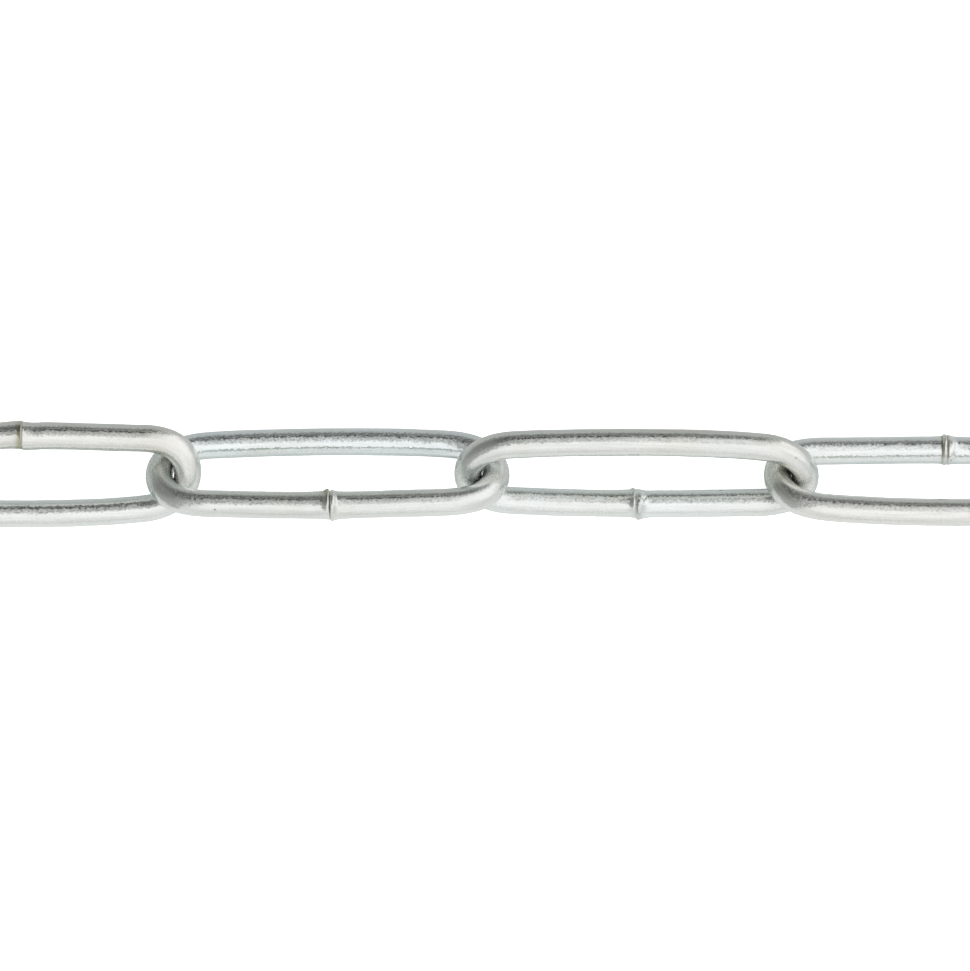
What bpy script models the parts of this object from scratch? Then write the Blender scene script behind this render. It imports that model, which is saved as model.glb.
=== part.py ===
"""A metre of welded long-link chain in zinc-plated steel wire, pulled out straight on a floor.

Metres, +Z up, and the chain runs along X. Each link is a wire bent to a slim oval, butted and
welded in the middle of one of its two bars. Neighbouring links cross at about a right angle:
each one leans over on its lower bar, by turns to one side and the other, and the round of its
crown hangs in the round of its neighbour's.
"""

import math

import bmesh
import bpy
from mathutils import Matrix, Vector

# The wire and the link, as the standard for round steel link chain names them
WIRE_DIAMETER = 0.002
PITCH = 0.022
OUTER_WIDTH = 0.008
LINK_COUNT = 46

# The bend of the wire's centre line round each end, which leaves the bars a slight outward bow
CROWN_RADIUS = 0.00275

# The weld in the middle of a bar: a swelling, with a thin ridge of flash round it
WELD_HALF_LENGTH = 0.0009
WELD_SWELL = 0.00006
FLASH_HALF_LENGTH = 0.00025
FLASH_HEIGHT = 0.00016

# How finely the round shapes are cut. An odd number of steps leaves a flat at the crown's tip
WIRE_SIDES = 8
CROWN_STEPS = 5

# How the links lie: the lean of a link's plane from the floor, and its shift to one side
LEAN = math.radians(43.0)
LEAN_SPREAD = math.radians(3.0)
SIDE_SPREAD = 0.00012
LEAN_RHYTHM = 2.3
SIDE_RHYTHM = 1.9

# The four links seen from above and the one before them: lean in degrees, shift to one side
SEEN_LINKS = {
    21: (48.0, 0.0),
    22: (23.0, -0.00004),
    23: (42.1, 0.00004),
    24: (43.1, 0.00005),
    25: (42.1, -0.00046),
}

# The link that lies too flat to reach the floor: its taut neighbours hold its middle this high
HELD_LINK = 22
HELD_HEIGHT = 0.00312

# How much closer two crowns come when they cross right along each other and not at right angles
SKEW_LOSS = 0.001

ZINC_COLOUR = (0.73, 0.74, 0.74, 1.0)
ZINC_ROUGHNESS = 0.32

WIRE_RADIUS = WIRE_DIAMETER / 2
HALF_LENGTH = PITCH / 2 + WIRE_RADIUS
HALF_WIDTH = OUTER_WIDTH / 2 - WIRE_RADIUS
CROWN_CENTRE = HALF_LENGTH - CROWN_RADIUS
BOW_RADIUS = (CROWN_CENTRE**2 + HALF_WIDTH**2 - CROWN_RADIUS**2) / (2 * (HALF_WIDTH - CROWN_RADIUS))
BOW_ANGLE = math.asin(CROWN_CENTRE / (BOW_RADIUS - CROWN_RADIUS))
CROWN_PLAY = CROWN_RADIUS - WIRE_DIAMETER


def clear_scene():
    """Take out whatever the scene holds."""
    for old in list(bpy.data.objects):
        bpy.data.objects.remove(old, do_unlink=True)


def zinc_plate():
    """Bright zinc plating on steel."""
    material = bpy.data.materials.new("zinc_plate")
    material.use_nodes = True
    shader = material.node_tree.nodes["Principled BSDF"]
    shader.inputs["Base Color"].default_value = ZINC_COLOUR
    shader.inputs["Metallic"].default_value = 1.0
    shader.inputs["Roughness"].default_value = ZINC_ROUGHNESS
    return material


def crown_stations(side):
    """Centre points, headings and wire radii round the crown at the +X (1) or -X (-1) end."""
    sweep = math.pi / 2 - BOW_ANGLE
    middle = 0.0 if side > 0 else math.pi
    stations = []
    for step in range(CROWN_STEPS + 1):
        angle = middle - sweep + 2 * sweep * step / CROWN_STEPS
        outward = Vector((math.cos(angle), math.sin(angle), 0))
        at_bar = step in (0, CROWN_STEPS)
        reach = CROWN_RADIUS if at_bar else CROWN_RADIUS / math.cos(sweep / CROWN_STEPS)
        centre = Vector((side * CROWN_CENTRE, 0, 0)) + reach * outward
        stations.append((centre, angle + math.pi / 2, WIRE_RADIUS))
    return stations


def bar_station(side, x, radius):
    """Centre point, heading and wire radius at x on the bowed bar at +Y (1) or -Y (-1)."""
    slant = math.asin(x / BOW_RADIUS)
    y = HALF_WIDTH - BOW_RADIUS * (1 - math.cos(slant))
    heading = math.pi - slant if side > 0 else slant
    return Vector((x, side * y, 0)), heading, radius


def weld_stations(side):
    """The stations that carry the weld's swelling and its flash, along the bar's own way round."""
    swollen = WIRE_RADIUS + WELD_SWELL
    across = [
        (-WELD_HALF_LENGTH, WIRE_RADIUS),
        (-FLASH_HALF_LENGTH, swollen),
        (0.0, WIRE_RADIUS + FLASH_HEIGHT),
        (FLASH_HALF_LENGTH, swollen),
        (WELD_HALF_LENGTH, WIRE_RADIUS),
    ]
    return [bar_station(side, -side * x, radius) for x, radius in across]


def link_mesh():
    """One link round its own middle, long axis X and width Y, welded on its +Y bar."""
    stations = crown_stations(1) + weld_stations(1) + crown_stations(-1)
    stations.append(bar_station(-1, 0.0, WIRE_RADIUS))
    shape = bmesh.new()
    rings = []
    for centre, heading, radius in stations:
        facing = Matrix.Rotation(heading, 4, "Z") @ Matrix.Rotation(math.pi / 2, 4, "Y")
        flat_side_in = Matrix.Rotation(math.pi / WIRE_SIDES, 4, "Z")
        made = bmesh.ops.create_circle(
            shape,
            segments=WIRE_SIDES,
            radius=radius,
            matrix=Matrix.Translation(centre) @ facing @ flat_side_in,
        )
        rings.append({edge for corner in made["verts"] for edge in corner.link_edges})
    for ring, following in zip(rings, rings[1:] + rings[:1]):
        bmesh.ops.bridge_loops(shape, edges=list(ring | following))
    bmesh.ops.recalc_face_normals(shape, faces=shape.faces)
    mesh = bpy.data.meshes.new("welded_link")
    shape.to_mesh(mesh)
    shape.free()
    mesh.shade_smooth()
    mesh.set_sharp_from_angle(angle=math.radians(50))
    return mesh


def welded_on_plus_y(number):
    """Whether the weld lies on the +Y bar. It changes sides after every second link."""
    return (number - 21) // 2 % 2 == 0


def lean_and_shift(number):
    """A link's lean from the floor, positive with its +Y bar high, and its shift along Y."""
    turn = 1 if number % 2 == 0 else -1
    if number in SEEN_LINKS:
        degrees, shift = SEEN_LINKS[number]
        return turn * math.radians(degrees), shift
    lean = LEAN + LEAN_SPREAD * math.sin(LEAN_RHYTHM * number)
    return turn * lean, SIDE_SPREAD * math.sin(SIDE_RHYTHM * number)


def middle_height(number, lean):
    """The height of a link's middle: on its lower bar, or held level by its neighbours."""
    if number == HELD_LINK:
        return HELD_HEIGHT
    low_bar_welded = welded_on_plus_y(number) == (lean < 0)
    return HALF_WIDTH * math.sin(abs(lean)) + WIRE_RADIUS + FLASH_HEIGHT * low_bar_welded


def across(lean):
    """The direction of a link's width."""
    return Vector((0, math.cos(lean), math.sin(lean)))


def lost_to_play(offset, lean):
    """What a neighbour's shift to one side of a crown takes off the pitch."""
    in_plane = offset.dot(across(lean))
    return CROWN_PLAY - math.sqrt(CROWN_PLAY**2 - in_plane**2)


def link_places():
    """Each link's lean and the place of its middle, from the -X end on."""
    places = []
    for number in range(1, LINK_COUNT + 1):
        lean, shift = lean_and_shift(number)
        middle = Vector((0, shift, middle_height(number, lean)))
        if places:
            last_lean, last = places[-1]
            offset = middle - last
            offset.x = 0
            lost = lost_to_play(offset, last_lean) + lost_to_play(offset, lean)
            lost += SKEW_LOSS * across(lean).dot(across(last_lean)) ** 2
            middle.x = last.x + PITCH - lost
        places.append((lean, middle))
    return places


def make_chain(mesh):
    """One object for each link, turned and placed along the chain."""
    links = []
    for number, (lean, middle) in enumerate(link_places(), start=1):
        link = bpy.data.objects.new(f"link_{number:02d}", mesh)
        bpy.context.collection.objects.link(link)
        link.location = middle
        link.rotation_euler.x = lean if welded_on_plus_y(number) else lean + math.pi
        links.append(link)
    return links


def set_down(links):
    """Centre the whole chain over the origin and set its lowest point on the floor."""
    bpy.context.view_layer.update()
    points = [link.matrix_world @ corner.co for link in links for corner in link.data.vertices]
    low = Vector(min(point[axis] for point in points) for axis in range(3))
    high = Vector(max(point[axis] for point in points) for axis in range(3))
    ground = Vector(((low.x + high.x) / 2, (low.y + high.y) / 2, low.z))
    for link in links:
        link.location -= ground
    bpy.context.view_layer.update()


def main():
    """Build the chain."""
    clear_scene()
    mesh = link_mesh()
    mesh.materials.append(zinc_plate())
    set_down(make_chain(mesh))


main()
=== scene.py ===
"""Looks of a metre of welded long-link chain in zinc-plated wire, pulled out on a pale floor.

Metres, +Z up, the chain along X. Each link's place, lean and weld side are read from its solid
in the frame. The fine link is modelled once for each shape of weld, copied to every place, and
there gets the small unevenness of its own wire. The camera looks straight down.
"""

import logging
import math
from dataclasses import dataclass
from enum import Enum
from typing import Any, Callable, ClassVar

import bpy
import numpy as np
from mathutils import Matrix, Vector


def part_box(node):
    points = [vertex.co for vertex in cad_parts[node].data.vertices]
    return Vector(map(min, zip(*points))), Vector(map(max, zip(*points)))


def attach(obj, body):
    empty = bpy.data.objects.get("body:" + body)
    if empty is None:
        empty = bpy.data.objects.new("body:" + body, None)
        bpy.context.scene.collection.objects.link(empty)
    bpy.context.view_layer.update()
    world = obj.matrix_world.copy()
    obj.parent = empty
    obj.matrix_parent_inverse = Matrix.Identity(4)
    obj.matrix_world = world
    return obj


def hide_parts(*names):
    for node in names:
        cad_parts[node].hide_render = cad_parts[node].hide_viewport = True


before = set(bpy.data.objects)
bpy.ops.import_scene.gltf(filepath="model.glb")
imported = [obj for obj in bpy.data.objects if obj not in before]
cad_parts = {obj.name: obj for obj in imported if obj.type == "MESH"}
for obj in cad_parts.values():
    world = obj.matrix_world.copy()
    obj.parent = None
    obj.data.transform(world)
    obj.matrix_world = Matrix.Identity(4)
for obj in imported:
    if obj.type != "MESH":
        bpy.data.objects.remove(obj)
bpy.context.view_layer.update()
LOG = logging.getLogger("chain")
MM = 0.001


class Weld(Enum):
    """The shapes that a link's weld comes in."""

    SEAM = "seam"
    CUT = "cut"
    BEAD = "bead"
    COLLAR = "collar"


@dataclass(frozen=True)
class Band:
    """One band round the wire: a swelling, a groove (of a negative size), a stain or a blob.

    Its size is in millimetres, or a stain's share. It fades over its reaches to the -X side and
    to the +X side. A lopsided one is stronger on the side that it leans towards, in degrees
    round the wire from the bar's outer side: at 1 a swelling doubles there and is gone behind,
    a stain above 1 keeps to ever less of the wire's round, and a blob is a patch at any value.
    """

    size: float
    reach: tuple[float, float]
    at: float = 0.0
    lopsided: float = 0.0
    towards: float = 0.0

    def size_at(self, x: Any) -> Any:
        """Its size at the distance x from the weld's middle, a number or an array."""
        away = np.asarray(x) - self.at
        reach = np.where(away > 0, self.reach[1], self.reach[0])
        return self.size * np.exp(-((away / reach) ** 2))

    def aside_at(self, x: float) -> Vector:
        """How far the wire's middle moves over at x, which makes the swelling lopsided."""
        way = math.radians(self.towards)
        side = Vector((0.0, math.cos(way), math.sin(way)))
        return self.lopsided * float(self.size_at(x)) * side

    def stain_at(self, x: np.ndarray, angle: np.ndarray) -> np.ndarray:
        """Its share as a stain, at places along the wire and angles round it."""
        facing = 1 + self.lopsided * np.cos(angle - math.radians(self.towards))
        return self.size_at(x) * np.maximum(facing, 0.0) / (1 + self.lopsided)

    def blob_at(self, x: np.ndarray, angle: np.ndarray) -> np.ndarray:
        """Its height as a blob: the more lopsided it is, the narrower it is round the wire."""
        facing = np.cos(angle - math.radians(self.towards)) - 1
        return self.size_at(x) * np.exp(self.lopsided * facing)


Share = Callable[[Band, np.ndarray, np.ndarray], np.ndarray]


@dataclass(frozen=True)
class WeldShape:
    """A weld: its place along the bar, its swellings, and how the ends don't quite meet.

    All in millimetres. The step is how far the wire's +X half sits off its -X half, outward and
    upward. The stains are olive where the plating burnt, black in the seam, and rusty. The
    blobs are drops of flash, each on one patch of the wire.
    """

    at: float
    step: tuple[float, float]
    bands: tuple[Band, ...]
    burnt: tuple[Band, ...] = ()
    black: tuple[Band, ...] = ()
    rusty: tuple[Band, ...] = ()
    blobs: tuple[Band, ...] = ()
    step_reach: float = 0.08
    zone: float = 1.6

    def fade(self, x: float) -> float:
        """The weld's share at x from its middle: nothing is left at its zone's ends."""
        return max(0.0, 1 - (x / self.zone) ** 4) ** 2

    def growth(self, x: float) -> float:
        """How much the wire's radius grows at x from the weld's middle."""
        return self.fade(x) * float(sum(band.size_at(x) for band in self.bands))

    def aside(self, x: float) -> Vector:
        """How far the wire's middle is off its line at x."""
        share = 0.5 * math.tanh(x / self.step_reach)
        moved = Vector((0.0, self.step[0] * share, self.step[1] * share))
        return self.fade(x) * sum((band.aside_at(x) for band in self.bands), moved)


WELD_SHAPES = {
    Weld.SEAM: WeldShape(
        at=0.32,
        step=(-0.09, 0.0),
        bands=(
            Band(0.035, (0.8, 0.5), -0.25, 0.5, -20),
            Band(0.03, (0.25, 0.5), 0.05, 0.3, 90),
            Band(-0.03, (0.03, 0.04)),
        ),
        burnt=(Band(1.1, (0.36, 0.07), -0.08, 1.6, 95), Band(0.5, (0.04, 0.03), 0.0)),
        black=(Band(0.2, (0.025, 0.025), 0.02, 0.6, 157),),
    ),
    Weld.CUT: WeldShape(
        at=0.22,
        step=(0.03, 0.02),
        bands=(
            Band(0.05, (1.0, 1.0)),
            Band(0.09, (0.24, 0.11), -0.17, 0.7, 222),
            Band(0.12, (0.06, 0.26), 0.09, 0.4, -30),
            Band(-0.06, (0.022, 0.022)),
        ),
        burnt=(Band(1.0, (0.30, 0.07), -0.20, 3.0, 222), Band(0.15, (0.05, 0.2), 0.06)),
        black=(Band(1.3, (0.02, 0.02), 0.0, 2.0, -35),),
        blobs=(Band(0.06, (0.12, 0.16), 0.26, 9.0, -62),),
    ),
    Weld.BEAD: WeldShape(
        at=-0.04,
        step=(0.03, -0.04),
        bands=(
            Band(0.04, (0.8, 0.8)),
            Band(0.07, (0.20, 0.08), -0.13, 0.8, 150),
            Band(0.07, (0.20, 0.40), 0.20, 0.8, 235),
            Band(0.03, (0.25, 0.3), 0.25, 0.9, 317),
            Band(-0.02, (0.03, 0.03)),
        ),
        burnt=(Band(0.25, (0.3, 0.2), -0.15, 0.6, 150),),
        black=(Band(0.25, (0.25, 0.3), 0.2, 4.0, 285),),
        blobs=(Band(0.10, (0.22, 0.26), 0.40, 9.0, 213),),
    ),
    Weld.COLLAR: WeldShape(
        at=0.21,
        step=(-0.03, 0.02),
        bands=(
            Band(0.04, (0.9, 0.9)),
            Band(0.11, (0.14, 0.20), -0.20, 0.3, 60),
            Band(0.07, (0.07, 0.25), 0.09, 0.9, 118),
            Band(-0.04, (0.025, 0.025)),
        ),
        burnt=(Band(1.0, (0.10, 0.07), -0.37, 0.4, 80), Band(0.35, (0.16, 0.08), -0.13)),
        black=(Band(0.3, (0.04, 0.03), -0.40, 0.6, 80),),
        rusty=(Band(1.0, (0.055, 0.05), 0.0, 2.5, 108),),
        blobs=(Band(0.12, (0.18, 0.22), 0.34, 8.0, 114),),
    ),
}


@dataclass(frozen=True)
class WireLink:
    """One fine link round its own middle: long axis X, width Y, its weld on the +Y bar.

    The wire's centre line is an oval of three arcs to the quarter: the tight tip of the crown,
    its longer shoulder, and the slight outward bow of the bar.
    """

    weld: Weld
    wire_radius: float = 0.975 * MM
    half_length: float = 12.0 * MM
    half_width: float = 3.0 * MM
    tip_radius: float = 2.3 * MM
    tip_degrees: float = 58.0
    shoulder_radius: float = 4.6 * MM
    sides: int = 32
    tip_steps: int = 12
    shoulder_steps: int = 6
    bar_steps: int = 26
    plain_bar_steps: int = 56
    weld_zone_steps: int = 10
    weld_core: float = 0.6 * MM
    weld_core_steps: int = 60
    close_up: float = 0.002 * MM
    lump_reach: float = 0.5 * MM
    rubbed_reach: float = 2.6 * MM
    crown_power: int = 4
    least_weight: float = 0.005

    @property
    def tip_angle(self) -> float:
        """The angle that a quarter of the link turns through in its tip's arc."""
        return math.radians(self.tip_degrees)

    @property
    def tip_centre(self) -> Vector:
        """The centre of the +X tip's arc."""
        return Vector((self.half_length - self.tip_radius, 0.0, 0.0))

    @property
    def shoulder_centre(self) -> Vector:
        """The centre of the arc of the shoulder between the +X tip and the +Y bar."""
        way = Vector((math.cos(self.tip_angle), math.sin(self.tip_angle), 0.0))
        return self.tip_centre - (self.shoulder_radius - self.tip_radius) * way

    @property
    def bow_angle(self) -> float:
        """Half the angle that a bar's bow turns through."""
        centre = self.shoulder_centre
        return 2 * math.atan((self.half_width - centre.y - self.shoulder_radius) / centre.x)

    @property
    def bow_radius(self) -> float:
        """The radius of a bar's bow."""
        return self.shoulder_radius + self.shoulder_centre.x / math.sin(self.bow_angle)

    @property
    def bow_centre(self) -> Vector:
        """The centre of the +Y bar's bow."""
        return Vector((0.0, self.half_width - self.bow_radius, 0.0))

    @property
    def shoulder_angle(self) -> float:
        """The angle that a shoulder turns through."""
        return math.pi / 2 - self.tip_angle - self.bow_angle

    def bar_middle(self, x: float) -> Vector:
        """The wire's centre line at x on the +Y bar."""
        return Vector((x, self.bow_centre.y + math.sqrt(self.bow_radius**2 - x**2), 0.0))

    def sweep(self, steps: int, angle: float, centre: Vector) -> None:
        """Draw the selected ring of the wire round an arc, counter-clockwise.

        Args:
            steps: Rings to add.
            angle: The arc's angle.
            centre: The arc's centre in the link's plane.
        """
        bpy.ops.mesh.spin(steps=steps, angle=-angle, center=centre, axis=(0.0, 0.0, 1.0))

    def sweep_bar(self, marks: list[float], shape: WeldShape | None = None) -> None:
        """Draw the ring along the +Y bar from mark to mark, swollen as the weld is.

        Args:
            marks: Distances along X from the bar's middle, from the +X end on.
            shape: The weld that this stretch carries, or None.
        """
        grown, shifted = 1.0, Vector()
        for last, mark in zip(marks, marks[1:]):
            turn = math.asin(last / self.bow_radius) - math.asin(mark / self.bow_radius)
            self.sweep(1, turn, self.bow_centre)
            if shape is None:
                continue
            middle = self.bar_middle(mark) + shifted
            growth = 1 + shape.growth(mark / MM - shape.at) * MM / self.wire_radius
            factor = growth / grown
            bpy.ops.transform.resize(value=(1.0, factor, factor), center_override=middle)
            aside = shape.aside(mark / MM - shape.at) * MM
            bpy.ops.transform.translate(value=aside - shifted)
            grown, shifted = growth, aside

    def weld_marks(self, shape: WeldShape) -> list[float]:
        """The rings across a weld, closest together over its ridge."""
        outer = np.linspace(shape.zone * MM, self.weld_core, self.weld_zone_steps + 1)
        core = np.linspace(self.weld_core, -self.weld_core, self.weld_core_steps + 1)
        return [float(x) + shape.at * MM for x in [*outer[:-1], *core, *(-outer[:-1][::-1])]]

    def model(self) -> bpy.types.Object:
        """Model the link from a ring of the wire's section, swept round the oval.

        Returns:
            The link's object, at the origin.
        """
        shape = WELD_SHAPES[self.weld]
        bpy.ops.object.select_all(action="DESELECT")
        bpy.ops.mesh.primitive_circle_add(
            vertices=self.sides,
            radius=self.wire_radius,
            fill_type="NOTHING",
            location=(self.half_length, 0.0, 0.0),
            rotation=(math.pi / 2, 0.0, 0.0),
        )
        link = bpy.context.object
        link.name = f"link_with_{self.weld.value}"
        bpy.ops.object.transform_apply(location=True, rotation=True, scale=True)
        bpy.ops.object.mode_set(mode="EDIT")
        bpy.ops.mesh.select_all(action="SELECT")
        self.sweep(self.tip_steps, self.tip_angle, self.tip_centre)
        self.sweep(self.shoulder_steps, self.shoulder_angle, self.shoulder_centre)
        bar_end = self.bow_radius * math.sin(self.bow_angle)
        marks = self.weld_marks(shape)
        self.sweep_bar([float(x) for x in np.linspace(bar_end, marks[0], self.bar_steps + 1)])
        self.sweep_bar(marks, shape)
        self.sweep_bar([float(x) for x in np.linspace(marks[-1], -bar_end, self.bar_steps + 1)])
        flip_x, flip_y = Vector((-1.0, 1.0, 1.0)), Vector((1.0, -1.0, 1.0))
        self.sweep(self.shoulder_steps, self.shoulder_angle, self.shoulder_centre * flip_x)
        self.sweep(2 * self.tip_steps, 2 * self.tip_angle, self.tip_centre * flip_x)
        lower_left = self.shoulder_centre * flip_x * flip_y
        self.sweep(self.shoulder_steps, self.shoulder_angle, lower_left)
        self.sweep(self.plain_bar_steps, 2 * self.bow_angle, self.bow_centre * flip_y)
        self.sweep(self.shoulder_steps, self.shoulder_angle, self.shoulder_centre * flip_y)
        self.sweep(self.tip_steps, self.tip_angle, self.tip_centre)
        bpy.ops.mesh.select_all(action="SELECT")
        bpy.ops.mesh.remove_doubles(threshold=self.close_up)
        bpy.ops.mesh.normals_make_consistent(inside=False)
        bpy.ops.object.mode_set(mode="OBJECT")
        bpy.ops.object.shade_smooth()
        self.note_places(link, shape)
        return link

    def note_places(self, link: bpy.types.Object, shape: WeldShape) -> None:
        """Note on each point its place on the wire, its stains and how the crown is rubbed.

        Args:
            link: The fine link.
            shape: Its weld.
        """
        points = np.array([point.co for point in link.data.vertices], float)
        places, quarter = self.wire_places(points, shape.at * MM)
        welded = points[:, 1] > 0
        away = points[:, 0] / MM - shape.at
        angle = np.arctan2(places[:, 2], places[:, 1])
        from_tip = np.abs((places[:, 0] + shape.at * MM) % (2 * quarter) - quarter)
        shares = {
            "weld": np.where(welded, np.exp(-((away * MM / self.lump_reach) ** 2)), 0.0),
            "plus_end": np.clip(points[:, 0] / self.half_length, 0, 1) ** self.crown_power,
            "minus_end": np.clip(-points[:, 0] / self.half_length, 0, 1) ** self.crown_power,
            "blobs": np.where(welded, self.laid(shape.blobs, Band.blob_at, away, angle), 0.0),
        }
        for name, values in shares.items():
            group = link.vertex_groups.new(name=name)
            for index in np.flatnonzero(values > self.least_weight):
                group.add([int(index)], float(values[index]), "REPLACE")
        stains = {"rubbed": np.exp(-((from_tip / self.rubbed_reach) ** 2))}
        for name, bands in (("burnt", shape.burnt), ("black", shape.black), ("rusty", shape.rusty)):
            stains[name] = np.where(welded, self.laid(bands, Band.stain_at, away, angle), 0.0)
        for name, values in stains.items():
            noted = link.data.attributes.new(name, "FLOAT", "POINT")
            noted.data.foreach_set("value", values)
        noted = link.data.attributes.new("wire_place", "FLOAT_VECTOR", "POINT")
        noted.data.foreach_set("vector", places.ravel())

    def laid(
        self, bands: tuple[Band, ...], share: Share, away: np.ndarray, angle: np.ndarray
    ) -> np.ndarray:
        """The sum of some bands.

        Args:
            bands: The bands.
            share: The band's method that gives its part.
            away: Each point's way along the bar from the weld, in millimetres.
            angle: Each point's angle round the wire.

        Returns:
            The sum at each point.
        """
        return sum((share(band, away, angle) for band in bands), np.zeros(len(away)))

    def wire_places(self, points: np.ndarray, start: float) -> tuple[np.ndarray, float]:
        """Where points lie on the straightened wire: along it from the weld, and across it.

        Args:
            points: Places on the fine link.
            start: The weld's place on its bar.

        Returns:
            For each point its way along the wire and two coordinates across it, in metres,
            and the length of a quarter of the wire.
        """
        x, y = np.abs(points[:, 0]), np.abs(points[:, 1])
        arcs = [
            (self.bow_centre, self.bow_radius, self.bow_angle),
            (self.shoulder_centre, self.shoulder_radius, self.shoulder_angle),
            (self.tip_centre, self.tip_radius, self.tip_angle),
        ]
        along, outward, passed, turned = np.zeros(len(x)), np.zeros(len(x)), 0.0, 0.0
        for centre, radius, angle in arcs:
            way = math.pi / 2 - turned - np.arctan2(y - centre.y, x - centre.x)
            here = way >= 0
            along = np.where(here, passed + radius * way, along)
            outward = np.where(here, np.hypot(x - centre.x, y - centre.y) - radius, outward)
            passed, turned = passed + radius * angle, turned + angle
        along = np.where(points[:, 1] > 0, along, 2 * passed - along)
        along = np.where(points[:, 0] >= 0, along, 4 * passed - along)
        along = np.mod(along - start, 4 * passed)
        return np.stack([along, outward, points[:, 2]], 1), passed


LINK_SHAPES = {
    Weld.SEAM: WireLink(
        Weld.SEAM,
        half_width=2.957 * MM,
        tip_radius=2.44 * MM,
        tip_degrees=63.8,
        shoulder_radius=4.61 * MM,
    ),
    Weld.CUT: WireLink(
        Weld.CUT,
        half_width=3.005 * MM,
        tip_radius=2.53 * MM,
        tip_degrees=70.0,
        shoulder_radius=6.53 * MM,
    ),
    Weld.BEAD: WireLink(
        Weld.BEAD,
        half_width=2.901 * MM,
        tip_radius=2.356 * MM,
        tip_degrees=59.0,
        shoulder_radius=4.233 * MM,
    ),
    Weld.COLLAR: WireLink(
        Weld.COLLAR,
        half_width=2.961 * MM,
        tip_radius=2.463 * MM,
        tip_degrees=68.8,
        shoulder_radius=5.695 * MM,
    ),
}


@dataclass(frozen=True)
class Lie:
    """Where one link of the frame lies."""

    crown_from: ClassVar[float] = 9.5 * MM
    weld_reach: ClassVar[float] = 0.4 * MM

    middle: Vector
    lean: float
    weld_on_plus_y: bool

    @classmethod
    def of(cls, node: bpy.types.Object) -> "Lie":
        """Read a link's middle, lean and weld side from its solid.

        Args:
            node: The link's node in the frame.

        Returns:
            The link's lie.
        """
        points = np.array([corner.co for corner in node.data.vertices], float)
        middle_x = (points[:, 0].min() + points[:, 0].max()) / 2
        along = np.abs(points[:, 0] - middle_x)
        crowns = points[along > cls.crown_from]
        middle = np.array([middle_x, crowns[:, 1].mean(), crowns[:, 2].mean()])
        spread = (points - middle)[:, 1:]
        values, ways = np.linalg.eigh(spread.T @ spread)
        width = ways[:, int(np.argmax(values))]
        width = width if width[0] > 0 else -width
        weld = (points[along < cls.weld_reach] - middle)[:, 1:].mean(0)
        return cls(Vector(middle), math.atan2(width[1], width[0]), float(weld @ width) > 0)

    def matrix(self, nudge: "Nudge") -> Matrix:
        """Takes the fine link from its own middle to its place.

        Args:
            nudge: How the link is off its solid's place.

        Returns:
            The placing.
        """
        roll = self.lean + math.radians(nudge.lean)
        roll = roll if self.weld_on_plus_y else roll + math.pi
        place = self.middle + Vector((nudge.along, nudge.across, 0.0)) * MM
        turn = Matrix.Rotation(math.radians(nudge.turn), 4, "Z")
        return Matrix.Translation(place) @ turn @ Matrix.Rotation(roll, 4, "X")


@dataclass(frozen=True)
class Nudge:
    """How a real link is off its solid's place: millimetres and degrees.

    The ends are how far its crowns are bent over to +Y, at the -X end and at the +X end.
    """

    rhythms: ClassVar[tuple[float, float]] = (2.7, 4.3)
    most_across: ClassVar[float] = 0.02
    most_turn: ClassVar[float] = 0.25
    most_lean: ClassVar[float] = 0.6
    most_bend: ClassVar[float] = 0.04

    along: float = 0.0
    across: float = 0.0
    turn: float = 0.0
    lean: float = 0.0
    ends: tuple[float, float] = (0.0, 0.0)

    @classmethod
    def by_turns(cls, number: int) -> "Nudge":
        """The small unevenness of a link that the photograph doesn't show."""
        wave = math.sin(cls.rhythms[0] * number)
        other = math.sin(cls.rhythms[1] * number + 1.0)
        return cls(
            across=cls.most_across * other,
            turn=cls.most_turn * wave,
            lean=cls.most_lean * other,
            ends=(cls.most_bend * wave, -cls.most_bend * other),
        )


# How the four links in view are off, and the welds that they have
SEEN_NUDGES = {
    22: Nudge(along=-0.137, across=-0.027, lean=-3.6, ends=(0.0, 0.308)),
    23: Nudge(along=0.011, turn=0.453, lean=0.9, ends=(-0.051, -0.165)),
    24: Nudge(along=0.052, turn=-0.30, lean=-2.1, ends=(-0.059, -0.254)),
    25: Nudge(along=0.293, across=-0.058, turn=-0.437, lean=0.6, ends=(0.306, 0.0)),
}
SEEN_WELDS = {22: Weld.SEAM, 23: Weld.CUT, 24: Weld.BEAD, 25: Weld.COLLAR}


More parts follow.
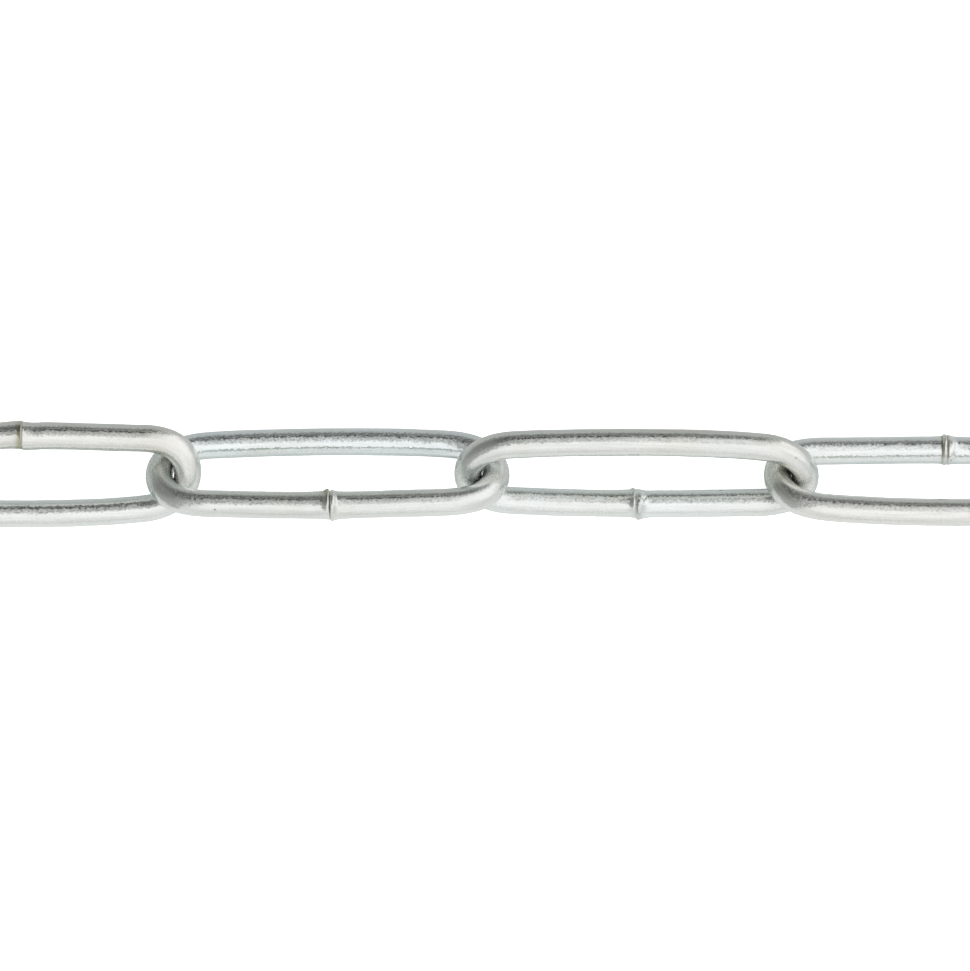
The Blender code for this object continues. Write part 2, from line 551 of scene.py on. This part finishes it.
@dataclass(frozen=True)
class Graph:
    """A short way to lay out shader nodes in a material, a world or a node group."""

    tree: bpy.types.NodeTree

    def add(
        self, kind: str, inputs: dict[Any, Any] | None = None, **settings: Any
    ) -> bpy.types.Node:
        """Add a node.

        Args:
            kind: The node's type, without the words ShaderNode.
            inputs: Values or sockets for its inputs, by name or number.
            **settings: The node's own settings.

        Returns:
            The node.
        """
        node = self.tree.nodes.new("ShaderNode" + kind)
        for name, value in settings.items():
            setattr(node, name, value)
        for key, value in (inputs or {}).items():
            if isinstance(value, bpy.types.NodeSocket):
                self.tree.links.new(value, node.inputs[key])
            else:
                node.inputs[key].default_value = value
        return node

    def math(self, operation: str, *values: Any) -> bpy.types.NodeSocket:
        """A sum, product or the like of values or sockets."""
        node = self.add("Math", dict(enumerate(values)), operation=operation)
        return node.outputs[0]

    def feed(self, source: bpy.types.NodeSocket, target: bpy.types.NodeSocket) -> None:
        """Link an output to an input."""
        self.tree.links.new(source, target)

    def ramp(
        self, factor: bpy.types.NodeSocket, stops: tuple[tuple[float, float], ...]
    ) -> bpy.types.NodeSocket:
        """A colour ramp.

        Args:
            factor: What the ramp reads.
            stops: Positions, each with a grey value.

        Returns:
            The ramp's colour socket.
        """
        node = self.add("ValToRGB", {0: factor})
        elements = node.color_ramp.elements
        while len(elements) < len(stops):
            elements.new(1.0)
        for element, (position, grey) in zip(elements, stops):
            element.position = position
            element.color = (grey, grey, grey, 1.0)
        return node.outputs[0]

    def mix(self, factor: Any, first: Any, second: Any, blend: str = "MIX") -> bpy.types.NodeSocket:
        """A mix of two colours or values."""
        node = self.add("MixRGB", {0: factor, 1: first, 2: second}, blend_type=blend)
        return node.outputs[0]


# The scale of the grain's noises along the wire, against 1 across it, then the values of the
# fine noise between which a matt speck grows, and the size of the smallest pit
GRAIN_DRAWN, DENTS_DRAWN, LINES_DRAWN = 0.8, 0.4, 0.05
SPECK_FROM, SPECK_FULL = 0.52, 0.64
LEAST_PIT = 0.03


def new_group(
    name: str, inputs: dict[str, float], outputs: dict[str, str]
) -> tuple[Graph, bpy.types.Node, bpy.types.Node]:
    """Start a shader node group.

    Args:
        name: The group's name.
        inputs: Its number inputs with their defaults. A Vector input comes first of itself.
        outputs: Its outputs with their socket types.

    Returns:
        The group's graph, its input node and its output node.
    """
    tree = bpy.data.node_groups.new(name, "ShaderNodeTree")
    tree.interface.new_socket("Vector", in_out="INPUT", socket_type="NodeSocketVector")
    for label, value in inputs.items():
        socket = tree.interface.new_socket(label, in_out="INPUT", socket_type="NodeSocketFloat")
        socket.default_value = value
    for label, kind in outputs.items():
        tree.interface.new_socket(label, in_out="OUTPUT", socket_type=kind)
    return Graph(tree), tree.nodes.new("NodeGroupInput"), tree.nodes.new("NodeGroupOutput")


def grain_group() -> bpy.types.NodeTree:
    """The fine grain of plated wire: a tilt and matt specks, over longer dents and drawing lines.

    Its Vector is a place on the straightened wire: X along it.
    """
    graph, given, put = new_group(
        "wire_grain",
        {"Grain": 7000.0, "Dents": 1800.0, "Lines": 5000.0, "Dent depth": 0.2, "Line depth": 0.1},
        {
            "Height": "NodeSocketFloat",
            "Tilt": "NodeSocketVector",
            "Speck": "NodeSocketFloat",
            "Streak": "NodeSocketFloat",
        },
    )
    place = given.outputs["Vector"]
    noises = []
    for scale, drawn, detail, roughness in (
        ("Grain", GRAIN_DRAWN, 1.0, 0.5),
        ("Dents", DENTS_DRAWN, 2.0, 0.5),
        ("Lines", LINES_DRAWN, 2.0, 0.6),
    ):
        longer = graph.add("Mapping", {"Vector": place, "Scale": (drawn, 1.0, 1.0)}).outputs[0]
        shape = {"Vector": longer, "Scale": given.outputs[scale]}
        noises.append(graph.add("TexNoise", {**shape, "Detail": detail, "Roughness": roughness}))
    fine, dents, lines = noises
    middle = (0.5, 0.5, 0.5)
    tilt = graph.add("VectorMath", {0: fine.outputs["Color"], 1: middle}, operation="SUBTRACT")
    height = graph.math("MULTIPLY", dents.outputs[0], given.outputs["Dent depth"])
    height = graph.math("MULTIPLY_ADD", lines.outputs[0], given.outputs["Line depth"], height)
    limits = {"From Min": SPECK_FROM, "From Max": SPECK_FULL}
    speck = graph.add("MapRange", {"Value": fine.outputs[0], **limits})
    graph.feed(height, put.inputs["Height"])
    graph.feed(tilt.outputs[0], put.inputs["Tilt"])
    graph.feed(speck.outputs[0], put.inputs["Speck"])
    graph.feed(lines.outputs[0], put.inputs["Streak"])
    return graph.tree


def pit_group() -> bpy.types.NodeTree:
    """Small scattered pits and specks, a few to each centimetre of wire."""
    graph, given, put = new_group(
        "pits", {"Spacing": 900.0, "Size": 0.10, "Share": 0.5}, {"Pit": "NodeSocketFloat"}
    )
    place, spacing = given.outputs["Vector"], given.outputs["Spacing"]
    cells = graph.add("TexVoronoi", {"Vector": place, "Scale": spacing})
    pick = graph.add("SeparateColor", {0: cells.outputs["Color"]})
    chosen = graph.math("LESS_THAN", pick.outputs[0], given.outputs["Share"])
    size = graph.math("MULTIPLY_ADD", given.outputs["Size"], pick.outputs[1], LEAST_PIT)
    inside = graph.math("DIVIDE", cells.outputs["Distance"], size)
    depth = graph.math("MAXIMUM", graph.math("SUBTRACT", 1.0, inside), 0.0)
    graph.feed(graph.math("MULTIPLY", depth, chosen), put.inputs["Pit"])
    return graph.tree


@dataclass(frozen=True)
class ZincFinish:
    """Bright zinc plating: half-gloss, speckled, with faint stains and burnt welds.

    It is tinted warmer above and cooler near the floor, a painted light that stands in for
    warmer light from above and cooler light low down. One layer of clouds makes it unevenly matt,
    and another lays the faint stains.
    """

    name: str
    # Painted light: these two tints stand in for warmer light from above and cooler light near the
    # floor
    warm_light_tint: tuple[float, float, float]
    cool_light_tint: tuple[float, float, float]
    cool_from: float = 4.2 * MM
    cool_full: float = 1.8 * MM
    roughness: float = 0.13
    roughness_spread: float = 0.16
    cloud_scale: float = 420.0
    stain_scale: float = 160.0
    stain_ramp: tuple[tuple[float, float], ...] = ((0.52, 0.0), (0.75, 0.5))
    line_ramp: tuple[tuple[float, float], ...] = ((0.35, 0.93), (0.6, 1.0))
    patch_least: float = 0.5
    patch_spread: float = 0.9
    most_cover: float = 0.95
    relief_depth: float = 0.018 * MM
    grain_tilt: float = 0.24
    speck_blur: float = 0.13
    stain: tuple[float, float, float] = (0.88, 0.85, 0.76)
    burnt: tuple[float, float, float] = (0.42, 0.41, 0.30)
    black: tuple[float, float, float] = (0.05, 0.05, 0.04)
    rusty: tuple[float, float, float] = (0.42, 0.27, 0.21)
    low_grain: float = 0.4
    rubbed_grain: float = 0.6
    rubbed_blur: float = 0.12
    pit: tuple[float, float, float] = (0.40, 0.41, 0.39)

    def make(self, groups: dict[str, bpy.types.NodeTree]) -> bpy.types.Material:
        """Build the material.

        Args:
            groups: The shared node groups by name.

        Returns:
            The material.
        """
        material = bpy.data.materials.new(self.name)
        material.use_nodes = True
        graph = Graph(material.node_tree)
        shader = material.node_tree.nodes["Principled BSDF"]
        place = graph.add("TexCoord").outputs["Object"]
        wire_place = graph.add("Attribute", attribute_name="wire_place").outputs["Vector"]
        grain = graph.add("Group", node_tree=groups["wire_grain"])
        graph.feed(wire_place, grain.inputs["Vector"])
        pits = graph.add("Group", node_tree=groups["pits"])
        graph.feed(place, pits.inputs["Vector"])
        height = graph.add("SeparateXYZ", {0: place}).outputs[2]
        limits = {"From Min": self.cool_from, "From Max": self.cool_full}
        low = graph.add("MapRange", {"Value": height, **limits})
        colour = self.colour(graph, place, low.outputs[0], grain.outputs["Streak"])
        colour = graph.mix(pits.outputs["Pit"], colour, (*self.pit, 1.0))
        graph.feed(colour, shader.inputs["Base Color"])
        cloudy = graph.add("TexNoise", {"Vector": place, "Scale": self.cloud_scale, "Detail": 3.0})
        least, spread = self.roughness - self.roughness_spread / 2, self.roughness_spread
        rough = graph.math("MULTIPLY_ADD", cloudy.outputs[0], spread, least)
        rough = graph.math("MULTIPLY_ADD", grain.outputs["Speck"], self.speck_blur, rough)
        rubbed = graph.add("Attribute", attribute_name="rubbed").outputs["Fac"]
        rough = graph.math("MULTIPLY_ADD", rubbed, self.rubbed_blur, rough)
        rough = graph.math("ADD", rough, pits.outputs["Pit"])
        graph.feed(rough, shader.inputs["Roughness"])
        shader.inputs["Metallic"].default_value = 1.0
        deeper = graph.math("MULTIPLY_ADD", low.outputs[0], self.low_grain, 1.0)
        flatter = graph.math("MULTIPLY_ADD", rubbed, -self.rubbed_grain, 1.0)
        depth = graph.math("MULTIPLY", deeper, flatter)
        relief = graph.math("MULTIPLY", grain.outputs["Height"], depth)
        pitted = graph.math("MULTIPLY_ADD", pits.outputs["Pit"], -1.0, relief)
        bump = graph.add("Bump", {"Strength": 1.0, "Distance": self.relief_depth, "Height": pitted})
        tilted = graph.math("MULTIPLY", depth, self.grain_tilt)
        grainy = graph.add("VectorMath", {0: grain.outputs["Tilt"], 3: tilted}, operation="SCALE")
        both = {0: bump.outputs[0], 1: grainy.outputs[0]}
        normal = graph.add("VectorMath", both, operation="ADD")
        normal = graph.add("VectorMath", {0: normal.outputs[0]}, operation="NORMALIZE")
        graph.feed(normal.outputs[0], shader.inputs["Normal"])
        return material

    def colour(self, graph: Graph, place: Any, low: Any, streak: Any) -> bpy.types.NodeSocket:
        """The plating's colour: painted light warmer above, cooler low down, stained, burnt at the
        weld.

        Args:
            graph: The material's graph.
            place: The object coordinates.
            low: How low a point lies, from 0 to 1.
            streak: The drawing lines' noise.

        Returns:
            The colour's socket.
        """
        # Painted light: the tint by height stands in for warmer light from above and cooler light
        # low down
        tone = graph.mix(low, (*self.warm_light_tint, 1.0), (*self.cool_light_tint, 1.0))
        shape = {"Scale": self.stain_scale, "Detail": 4.0, "Roughness": 0.6}
        cloud = graph.add("TexNoise", {"Vector": place, **shape}).outputs[0]
        stained = graph.ramp(cloud, self.stain_ramp)
        tone = graph.mix(stained, tone, (*self.stain, 1.0), "MULTIPLY")
        lined = graph.ramp(streak, self.line_ramp)
        tone = graph.mix(1.0, tone, lined, "MULTIPLY")
        patchy = graph.math("MULTIPLY_ADD", cloud, self.patch_spread, self.patch_least)
        for name in ("burnt", "black", "rusty"):
            laid = graph.add("Attribute", attribute_name=name).outputs["Fac"]
            share = graph.math("MULTIPLY", laid, patchy)
            share = graph.math("MINIMUM", share, self.most_cover)
            tone = graph.mix(share, tone, (*getattr(self, name), 1.0))
        return tone


FINISHES = (
    ZincFinish("zinc_clear", (0.80, 0.81, 0.785), (0.84, 0.875, 0.875)),
    ZincFinish("zinc_bluish", (0.795, 0.81, 0.79), (0.83, 0.875, 0.88)),
    ZincFinish("zinc_warm", (0.81, 0.81, 0.78), (0.84, 0.875, 0.87)),
)


@dataclass
class Chain:
    """The run of links, each read from the frame and dressed.

    The wire has long waves and small dents, and the welds have spatter. Each kind of
    unevenness has the size of its features and its depth.
    """

    grain_start: float = 61.0 * MM
    seat_gap: float = 0.004 * MM
    wave_size: float = 3.0 * MM
    wave_depth: float = 0.05 * MM
    dent_size: float = 0.7 * MM
    dent_depth: float = 0.009 * MM
    spatter_size: float = 0.3 * MM
    spatter_depth: float = 0.06 * MM

    def __post_init__(self) -> None:
        """Build the shared groups, the finishes and the noises."""
        groups = {"wire_grain": grain_group(), "pits": pit_group()}
        self.materials = [finish.make(groups) for finish in FINISHES]
        self.waves = self.noise("waves", self.wave_size, 1)
        self.dents = self.noise("dents", self.dent_size, 2)
        self.spatter = self.noise("spatter", self.spatter_size, 2)

    def noise(self, name: str, size: float, depth: int) -> bpy.types.Texture:
        """A procedural cloud that a displacement reads.

        Args:
            name: The texture's name.
            size: The size of its features.
            depth: How many finer layers it has.

        Returns:
            The texture.
        """
        cloud = bpy.data.textures.new(name, "CLOUDS")
        cloud.noise_scale = size
        cloud.noise_depth = depth
        return cloud

    def kind(self, number: int) -> Weld:
        """The weld shape of a link: as seen where it was seen, or else by turns."""
        return SEEN_WELDS.get(number, list(Weld)[number * 7 % 5 % 4])

    def reshape(self, piece: bpy.types.Object, kind: str, **settings: Any) -> None:
        """Give a link a modifier and apply it.

        Args:
            piece: The link.
            kind: The modifier's type.
            **settings: The modifier's settings.
        """
        modifier = piece.modifiers.new(kind.lower(), kind)
        for name, value in settings.items():
            setattr(modifier, name, value)
        bpy.context.view_layer.objects.active = piece
        bpy.ops.object.modifier_apply(modifier=modifier.name)

    def uneven(
        self, piece: bpy.types.Object, texture: bpy.types.Texture, depth: float, group: str = ""
    ) -> None:
        """Give a link the unevenness of its wire, or of its weld.

        Args:
            piece: The link.
            texture: The unevenness.
            depth: How deep it is.
            group: The vertex group that it keeps to, or nothing.
        """
        where = {"texture": texture, "texture_coords": "GLOBAL", "vertex_group": group}
        self.reshape(piece, "DISPLACE", strength=depth, **where)

    def push_out(self, piece: bpy.types.Object, part: str, way: str, far: float) -> None:
        """Push a part of a link over, such as a crown sideways.

        Args:
            piece: The link.
            part: The vertex group of that part.
            way: The direction, as the modifier names it.
            far: How far it goes.
        """
        where = {"direction": way, "mid_level": 0.0, "vertex_group": part}
        self.reshape(piece, "DISPLACE", strength=far, **where)

    def vary_place(self, piece: bpy.types.Object, number: int) -> None:
        """Start each link's grain at its own place, so that no two links have the same."""
        noted = piece.data.attributes["wire_place"].data
        places = np.empty(len(noted) * 3)
        noted.foreach_get("vector", places)
        places[::3] += number * self.grain_start
        noted.foreach_set("vector", places)

    def rest_on_floor(self, piece: bpy.types.Object) -> None:
        """Raise a link whose unevenness would dip into the floor."""
        lowest = min(point.co.z for point in piece.data.vertices)
        if lowest < 0:
            piece.data.transform(Matrix.Translation((0.0, 0.0, -lowest)))

    def seat(self, piece: bpy.types.Object, other: bpy.types.Object, group: str = "") -> None:
        """Press a link's crown in where it would cut into its neighbour.

        Args:
            piece: The link that yields.
            other: Its neighbour.
            group: The vertex group whose weight is the share that yields, or all of it.
        """
        how = {"wrap_method": "NEAREST_SURFACEPOINT", "wrap_mode": "OUTSIDE"}
        where = {"target": other, "offset": self.seat_gap, "vertex_group": group}
        self.reshape(piece, "SHRINKWRAP", **how, **where)

    def lay(self, name: str, model: bpy.types.Object) -> bpy.types.Object:
        """Copy a fine link to a place in the chain, and give it its own bends and unevenness.

        Args:
            name: The node that it stands for.
            model: The fine link with the weld that is needed.

        Returns:
            The copy.
        """
        number = int(name[-2:])
        piece = model.copy()
        piece.data = model.data.copy()
        piece.name = f"wire_{name}"
        bpy.context.scene.collection.objects.link(piece)
        self.vary_place(piece, number)
        nudge = SEEN_NUDGES.get(number) or Nudge.by_turns(number)
        piece.data.transform(Lie.of(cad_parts[name]).matrix(nudge))
        for end, far in zip(("minus_end", "plus_end"), nudge.ends):
            if far:
                self.push_out(piece, end, "Y", far * MM)
        if WELD_SHAPES[self.kind(number)].blobs:
            self.push_out(piece, "blobs", "NORMAL", MM)
        self.uneven(piece, self.waves, self.wave_depth)
        self.uneven(piece, self.dents, self.dent_depth)
        self.uneven(piece, self.spatter, self.spatter_depth, "weld")
        self.rest_on_floor(piece)
        return piece

    def build(self) -> None:
        """Lay a fine link at every place in the chain, seat it beside the last, and dress it."""
        models = {weld: link.model() for weld, link in LINK_SHAPES.items()}
        last = None
        for name in sorted(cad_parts):
            number = int(name[-2:])
            piece = self.lay(name, models[self.kind(number)])
            if last:
                self.seat(last, piece, "plus_end")
                self.seat(piece, last)
            last = piece
            piece.data.materials.append(self.materials[number * 5 % 3])
            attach(piece, name)
            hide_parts(name)
            LOG.info("%s with a %s weld rides on %s", piece.name, self.kind(number).value, name)
        for model in models.values():
            bpy.data.objects.remove(model)


@dataclass(frozen=True)
class Studio:
    """The pale floor, the soft light round it and the camera above."""

    photo_width: int = 970
    photo_height: int = 971
    scale: float = 14.04 / MM
    crossing_px: tuple[float, float] = (481.65, 474.3)
    lens: float = 200.0
    sensor: float = 36.0
    floor_size: float = 60.0
    floor_colour: tuple[float, float, float] = (0.9, 0.9, 0.9)
    # Painted light on the floor as the metal mirrors it: lit near side, shaded far side, a lit
    # patch between a link's bars, brighter after a second reflection
    floor_lit_near: tuple[float, float, float] = (0.83, 0.83, 0.83)
    floor_shaded_far: tuple[float, float, float] = (0.50, 0.50, 0.50)
    floor_lit_inside: tuple[float, float, float] = (0.73, 0.765, 0.75)
    floor_lit_twice: tuple[float, float, float] = (1.0, 1.04, 1.02)
    floor_glow: float = 0.8
    floor_roughness: float = 0.3
    far_range: tuple[float, float] = (-6 * MM, 10 * MM)
    inside_range: tuple[float, float] = (4.5 * MM, 2.5 * MM)
    painted_shade_reach: float = 3.0 * MM
    painted_shade_range: tuple[float, float] = (0.10, 0.30)
    backdrop: tuple[float, float, float] = (0.9, 0.9, 0.9)
    top_size: float = 2.0
    top_place: tuple[float, float, float] = (0.45, -0.35, 0.85)
    top_power: float = 8.0
    even_width: float = 0.04
    dark_side: tuple[float, float, float] = (-0.95, 0.53, 0.0)
    dark_tint: tuple[float, float, float] = (0.965, 1.0, 0.96)
    across_light: tuple[tuple[float, float], ...] = (
        (-0.56, 0.81), (-0.42, 0.88), (-0.32, 0.96), (-0.20, 1.06), (-0.01, 1.12), (0.04, 0.78),
        (0.085, 0.57), (0.093, 0.29), (0.115, 0.29), (0.123, 0.60), (0.15, 0.56), (0.158, 0.32),
        (0.172, 0.32), (0.18, 0.58), (0.20, 0.52), (0.207, 0.06), (0.262, 0.06), (0.27, 0.44),
        (0.288, 0.44), (0.296, 0.06), (0.335, 0.09), (0.36, 0.19), (0.50, 0.19), (0.62, 0.30),
    )
    shaded_side: tuple[float, float, float] = (-0.9, -0.42, 0.0)
    shade: tuple[tuple[float, float], ...] = ((0.16, 1.0), (0.32, 0.80))
    crown_light: tuple[tuple[float, float], ...] = ((-0.45, 0.25), (-0.28, 0.24), (-0.16, 0.0))
    rim_light: tuple[tuple[float, float], ...] = ((0.55, 0.0), (0.62, 0.28), (0.72, 0.37))
    near_side_light: tuple[tuple[float, float], ...] = (
        (-0.60, 0.52), (-0.12, 0.39), (0.0, 0.32), (0.18, 0.25), (0.26, 0.0),
    )
    bright_spot: tuple[float, float, float] = (0.36, 0.13, 0.92)
    spot_light: tuple[tuple[float, float], ...] = (
        (0.05, 1.15), (0.20, 1.10), (0.34, 0.84), (0.50, 0.0),
    )
    between_links: tuple[float, float, float] = (0.42, 0.48, 0.46)

    def crossing(self) -> Vector:
        """The place where the middle two of the four seen links cross."""
        left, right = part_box("link_23"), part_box("link_24")
        middle = [(low + high) / 2 for low, high in (left, right)]
        return Vector(((left[1].x + right[0].x) / 2, (middle[0].y + middle[1].y) / 2, middle[0].z))

    def place_camera(self) -> None:
        """Look straight down, with the crossing at its place in the photograph."""
        data = bpy.data.cameras.new("from_above")
        data.lens, data.sensor_width = self.lens, self.sensor
        data.sensor_fit = "AUTO"
        data.clip_start = 0.01
        camera = bpy.data.objects.new("from_above", data)
        bpy.context.scene.collection.objects.link(camera)
        at = self.crossing()
        aside = (self.photo_width / 2 - self.crossing_px[0]) / self.scale
        below = (self.photo_height / 2 - self.crossing_px[1]) / self.scale
        height = self.photo_height / self.scale * self.lens / self.sensor
        camera.location = (at.x + aside, at.y - below, at.z + height)
        bpy.context.scene.camera = camera

    def lay_floor(self) -> None:
        """A plain pale floor, which glows for the camera and shades off where links touch and crowd
        over it.

        The glow is a painted light that washes out its shadows, and its fading is a painted shade,
        as in the gap at a crossing. In the metal it shows painted light: brighter on the near side,
        darker on the far side, with a painted brightness of its own between a link's bars and after
        a second reflection.
        """
        bpy.ops.object.select_all(action="DESELECT")
        bpy.ops.mesh.primitive_plane_add(size=self.floor_size, location=(0.0, 0.0, 0.0))
        floor = bpy.context.object
        floor.name = "floor"
        material = bpy.data.materials.new("pale_floor")
        material.use_nodes = True
        graph = Graph(material.node_tree)
        shader = material.node_tree.nodes["Principled BSDF"]
        shader.inputs["Roughness"].default_value = self.floor_roughness
        shader.inputs["Emission Color"].default_value = (1.0, 1.0, 1.0, 1.0)
        rays = graph.add("LightPath")
        across = graph.add("SeparateXYZ", {0: graph.add("TexCoord").outputs["Object"]}).outputs[1]
        # Painted light in the metal's view of the floor: shaded far side, lit near side, a lit
        # patch between a link's bars and a brighter floor after a second reflection
        far = self.share(graph, across, self.far_range)
        in_metal = graph.mix(far, (*self.floor_lit_near, 1.0), (*self.floor_shaded_far, 1.0))
        inside = self.share(graph, graph.math("ABSOLUTE", across), self.inside_range)
        in_metal = graph.mix(inside, in_metal, (*self.floor_lit_inside, 1.0))
        in_metal = graph.mix(self.after(graph, rays, 2.0), in_metal, (*self.floor_lit_twice, 1.0))
        colour = graph.mix(rays.outputs["Is Glossy Ray"], (*self.floor_colour, 1.0), in_metal)
        graph.feed(colour, shader.inputs["Base Color"])
        # Painted shade: the camera's glow fades where the links hide the sky from the floor, as in
        # the gap at a crossing
        open_sky = graph.add("AmbientOcclusion", {"Distance": self.painted_shade_reach}, samples=6)
        lit = self.share(graph, open_sky.outputs["AO"], self.painted_shade_range)
        # Painted light: the floor glows for the camera only, which washes out its shadows
        glow = graph.math("MULTIPLY", rays.outputs["Is Camera Ray"], self.floor_glow)
        glow = graph.math("MULTIPLY", glow, lit)
        graph.feed(glow, shader.inputs["Emission Strength"])
        floor.data.materials.append(material)

    def share(self, graph: Graph, value: Any, limits: tuple[float, float]) -> Any:
        """Where a value stands between two limits, from 0 to 1."""
        given = {"Value": value, "From Min": limits[0], "From Max": limits[1]}
        return graph.add("MapRange", given).outputs[0]

    def after(self, graph: Graph, rays: bpy.types.Node, depth: float) -> bpy.types.NodeSocket:
        """Whether a ray has the given depth. On a surface two reflections make 2, in the world 3.

        Args:
            graph: The graph that asks.
            rays: Its Light Path node.
            depth: The depth.

        Returns:
            A socket that is 1 where it has.
        """
        return graph.math("COMPARE", rays.outputs["Ray Depth"], depth, 0.5)

    def light(self) -> None:
        """A soft surround and a broad top light.

        The surround is laid out by the tilt of a surface that mirrors it upwards: bright on the
        +X side and the near side, with a bright spot there, and darker behind and on the -X
        side, with narrow black gaps that pick out the grain. A small tilt along X changes
        nothing, so that the bars look alike all along the chain. A weak light lifts the -X
        side of the crowns, and the edge is paler all round.
        """
        world = bpy.data.worlds.new("studio")
        bpy.context.scene.world = world
        world.use_nodes = True
        graph = Graph(world.node_tree)
        way = graph.add("TexCoord").outputs["Generated"]
        raised = graph.add("VectorMath", {0: way, 1: (0.0, 0.0, 1.0)}, operation="ADD").outputs[0]
        tilt = graph.add("VectorMath", {0: raised}, operation="NORMALIZE").outputs[0]
        parts = graph.add("SeparateXYZ", {0: tilt})
        even = graph.add(
            "Clamp", {"Value": parts.outputs[0], "Min": -self.even_width, "Max": self.even_width}
        )
        along = graph.math("SUBTRACT", parts.outputs[0], even.outputs[0])
        turned = graph.add("CombineXYZ", {0: along, 1: parts.outputs[1]}).outputs[0]
        across = graph.add("VectorMath", {0: turned, 1: self.dark_side}, operation="DOT_PRODUCT")
        light = self.spread(graph, across.outputs["Value"], self.across_light)
        away = graph.add("VectorMath", {0: tilt, 1: self.shaded_side}, operation="DOT_PRODUCT")
        shade = self.spread(graph, away.outputs["Value"], self.shade)
        light = graph.mix(1.0, light, shade, "MULTIPLY")
        level = graph.add("VectorMath", {0: tilt, 1: (1.0, 1.0, 0.0)}, operation="MULTIPLY")
        steep = graph.add("VectorMath", {0: level.outputs[0]}, operation="LENGTH").outputs["Value"]
        off_spot = graph.add("VectorMath", {0: tilt, 1: self.bright_spot}, operation="DISTANCE")
        for factor, stops in (
            (parts.outputs[0], self.crown_light),
            (steep, self.rim_light),
            (parts.outputs[1], self.near_side_light),
            (off_spot.outputs["Value"], self.spot_light),
        ):
            light = graph.mix(1.0, light, self.spread(graph, factor, stops), "LIGHTEN")
        dark = graph.math("SUBTRACT", 1.0, light)
        light = graph.mix(dark, light, (*self.dark_tint, 1.0), "MULTIPLY")
        rays = graph.add("LightPath")
        filled = graph.mix(1.0, light, (*self.between_links, 1.0), "LIGHTEN")
        light = graph.mix(self.after(graph, rays, 3.0), light, filled)
        light = graph.mix(rays.outputs["Is Camera Ray"], light, (*self.backdrop, 1.0))
        graph.feed(light, world.node_tree.nodes["Background"].inputs["Color"])
        top = bpy.data.lights.new("top_light", "AREA")
        top.size, top.energy = self.top_size, self.top_power
        lamp = bpy.data.objects.new("top_light", top)
        lamp.location = self.top_place
        lamp.rotation_euler = (-Vector(self.top_place)).to_track_quat("-Z", "Y").to_euler()
        lamp.visible_glossy = False
        bpy.context.scene.collection.objects.link(lamp)

    def spread(self, graph: Graph, factor: Any, stops: tuple[tuple[float, float], ...]) -> Any:
        """A ramp of greys over a factor that runs from -1 to 1."""
        half = graph.math("MULTIPLY_ADD", factor, 0.5, 0.5)
        return graph.ramp(half, tuple((0.5 + place / 2, grey) for place, grey in stops))

    def set_up(self) -> None:
        """Build the whole studio."""
        self.place_camera()
        self.lay_floor()
        self.light()
        bpy.context.scene.view_settings.view_transform = "Standard"
        LOG.info("camera, floor and lights are up")


def main() -> None:
    """Build the camera and the studio, then the chain."""
    logging.basicConfig(level=logging.INFO)
    Studio().set_up()
    Chain().build()


if __name__ == "__main__":
    main()
